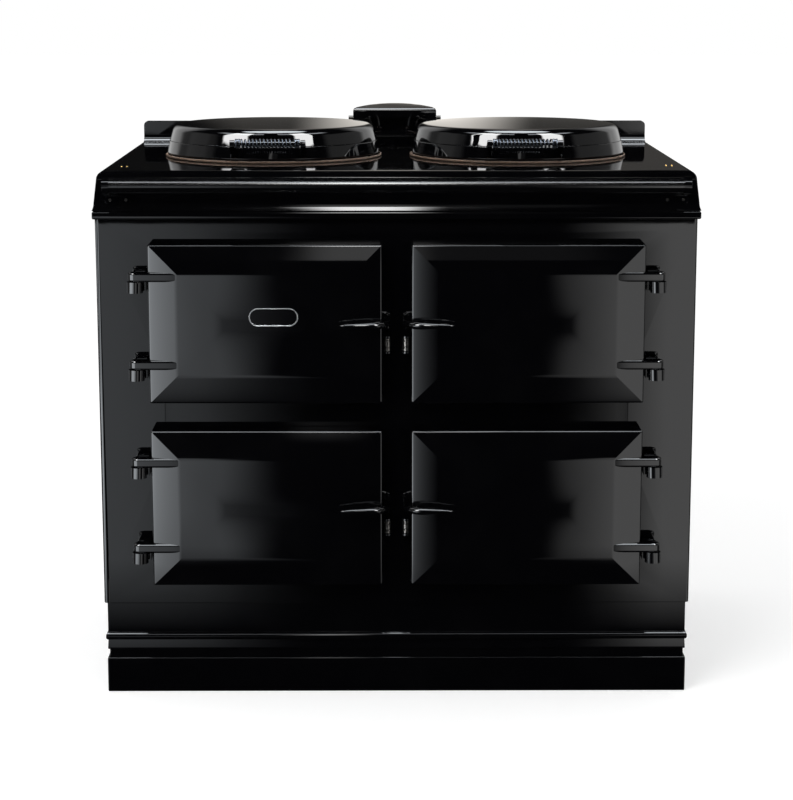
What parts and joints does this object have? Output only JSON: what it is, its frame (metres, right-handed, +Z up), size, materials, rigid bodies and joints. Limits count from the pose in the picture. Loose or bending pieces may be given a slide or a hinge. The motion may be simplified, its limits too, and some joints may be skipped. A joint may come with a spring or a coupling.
{
  "type": "range cooker",
  "caption": "Cast iron heat-storage range cooker with hinged oven doors, round insulated hotplate lids, handrail and moulded plinth.",
  "frame": {"origin": "on the floor, at the middle of the footprint from the back panel to the front of the latch handles", "axes": "+X to the cooker's right-hand side as seen from the front, the doors face -Y, +Z up"},
  "size_m": [0.993, 0.7154, 0.9598],
  "materials": {
    "enamel": "deep gloss black vitreous enamel",
    "panel_enamel": "gloss black enamel on sheet",
    "base_iron": "matt black",
    "zinc_sheet": "zinc coated sheet",
    "oven_iron": "dark grey enamel",
    "machined_iron": "fine turned",
    "bright_steel": "bright",
    "polished_liner": "polished",
    "heater_sheath": "heat stained",
    "dark_steel": "blued steel",
    "rope": "braided rope",
    "lagging": "mineral fibre",
    "plate_metal": "satin",
    "knob_black": "satin black"
  },
  "bodies": {
    "carcass": {"front_plate": "enamel", "top_plate": "enamel", "vent_box": "enamel", "vent_cap": "enamel", "rail_brackets": "enamel", "door_hinge_brackets": "enamel", "catch_brackets": "enamel", "lid_hinge_brackets": "enamel", "base_plinth": "panel_enamel", "upper_plinth": "panel_enamel", "left_side_panel": "panel_enamel", "right_side_panel": "panel_enamel", "handrail": "panel_enamel", "base_plate": "base_iron", "back_panel": "zinc_sheet", "control_box": "zinc_sheet", "control_panel": "zinc_sheet", "roasting_oven": "oven_iron", "baking_oven": "oven_iron", "simmering_oven": "oven_iron", "left_hotplate": "machined_iron", "right_hotplate": "machined_iron", "levelling_feet": "bright_steel", "fixing_screws": "bright_steel", "hinge_pins": "bright_steel", "oven_shelves": "bright_steel", "hotplate_heaters": "heater_sheath", "oven_heaters": "heater_sheath", "hotplate_rope_seals": "rope", "oven_rope_seals": "rope", "insulation": "lagging"},
    "door_upper_left": {"upper_left_door": "enamel", "upper_left_door_liner": "polished_liner", "upper_left_handle": "enamel", "badge_plate": "plate_metal"},
    "door_upper_right": {"upper_right_door": "enamel", "upper_right_door_liner": "polished_liner", "upper_right_handle": "enamel"},
    "door_lower_left": {"lower_left_door": "enamel", "lower_left_door_liner": "polished_liner", "lower_left_handle": "enamel"},
    "door_lower_right": {"lower_right_door": "enamel", "lower_right_door_liner": "polished_liner", "lower_right_handle": "enamel"},
    "roller_upper_left": {"upper_left_roller": "bright_steel"},
    "roller_upper_right": {"upper_right_roller": "bright_steel"},
    "roller_lower_left": {"lower_left_roller": "bright_steel"},
    "roller_lower_right": {"lower_right_roller": "bright_steel"},
    "lid_left": {"left_lid_dome": "enamel", "left_lid_skirt": "enamel", "left_lid_liner": "polished_liner", "left_lid_handle": "dark_steel", "left_lid_grip": "dark_steel"},
    "knob_left": {"left_plate_knob": "knob_black"},
    "lid_right": {"right_lid_dome": "enamel", "right_lid_skirt": "enamel", "right_lid_liner": "polished_liner", "right_lid_handle": "dark_steel", "right_lid_grip": "dark_steel"},
    "knob_right": {"right_plate_knob": "knob_black"}
  },
  "joints": [
    {"name": "door_upper_left_hinge", "type": "hinge", "parent": "carcass", "child": "door_upper_left", "pos_m": [-0.426, -0.31865, 0.6388], "axis": [0, 0, -1], "range_deg": [0, 110]},
    {"name": "door_upper_right_hinge", "type": "hinge", "parent": "carcass", "child": "door_upper_right", "pos_m": [0.426, -0.31865, 0.6388], "axis": [0, 0, 1], "range_deg": [0, 110]},
    {"name": "door_lower_left_hinge", "type": "hinge", "parent": "carcass", "child": "door_lower_left", "pos_m": [-0.426, -0.31865, 0.3303], "axis": [0, 0, -1], "range_deg": [0, 110]},
    {"name": "door_lower_right_hinge", "type": "hinge", "parent": "carcass", "child": "door_lower_right", "pos_m": [0.426, -0.31865, 0.3303], "axis": [0, 0, 1], "range_deg": [0, 110]},
    {"name": "roller_upper_left_spin", "type": "hinge", "parent": "carcass", "child": "roller_upper_left", "pos_m": [-0.0155, -0.29935, 0.6018], "axis": [0, 0, 1], "continuous": true},
    {"name": "roller_upper_right_spin", "type": "hinge", "parent": "carcass", "child": "roller_upper_right", "pos_m": [0.0155, -0.29935, 0.6018], "axis": [0, 0, 1], "continuous": true},
    {"name": "roller_lower_left_spin", "type": "hinge", "parent": "carcass", "child": "roller_lower_left", "pos_m": [-0.0155, -0.29935, 0.2933], "axis": [0, 0, 1], "continuous": true},
    {"name": "roller_lower_right_spin", "type": "hinge", "parent": "carcass", "child": "roller_lower_right", "pos_m": [0.0155, -0.29935, 0.2933], "axis": [0, 0, 1], "continuous": true},
    {"name": "lid_left_hinge", "type": "hinge", "parent": "carcass", "child": "lid_left", "pos_m": [-0.215, 0.23865, 0.9068], "axis": [-1, 0, 0], "range_deg": [0, 92]},
    {"name": "knob_left_turn", "type": "hinge", "parent": "carcass", "child": "knob_left", "pos_m": [-0.2745, -0.23635, 0.6388], "axis": [0, -1, 0], "range_deg": [0, 270]},
    {"name": "lid_right_hinge", "type": "hinge", "parent": "carcass", "child": "lid_right", "pos_m": [0.215, 0.23865, 0.9068], "axis": [-1, 0, 0], "range_deg": [0, 92]},
    {"name": "knob_right_turn", "type": "hinge", "parent": "carcass", "child": "knob_right", "pos_m": [-0.1545, -0.23635, 0.6388], "axis": [0, -1, 0], "range_deg": [0, 270]}
  ]
}
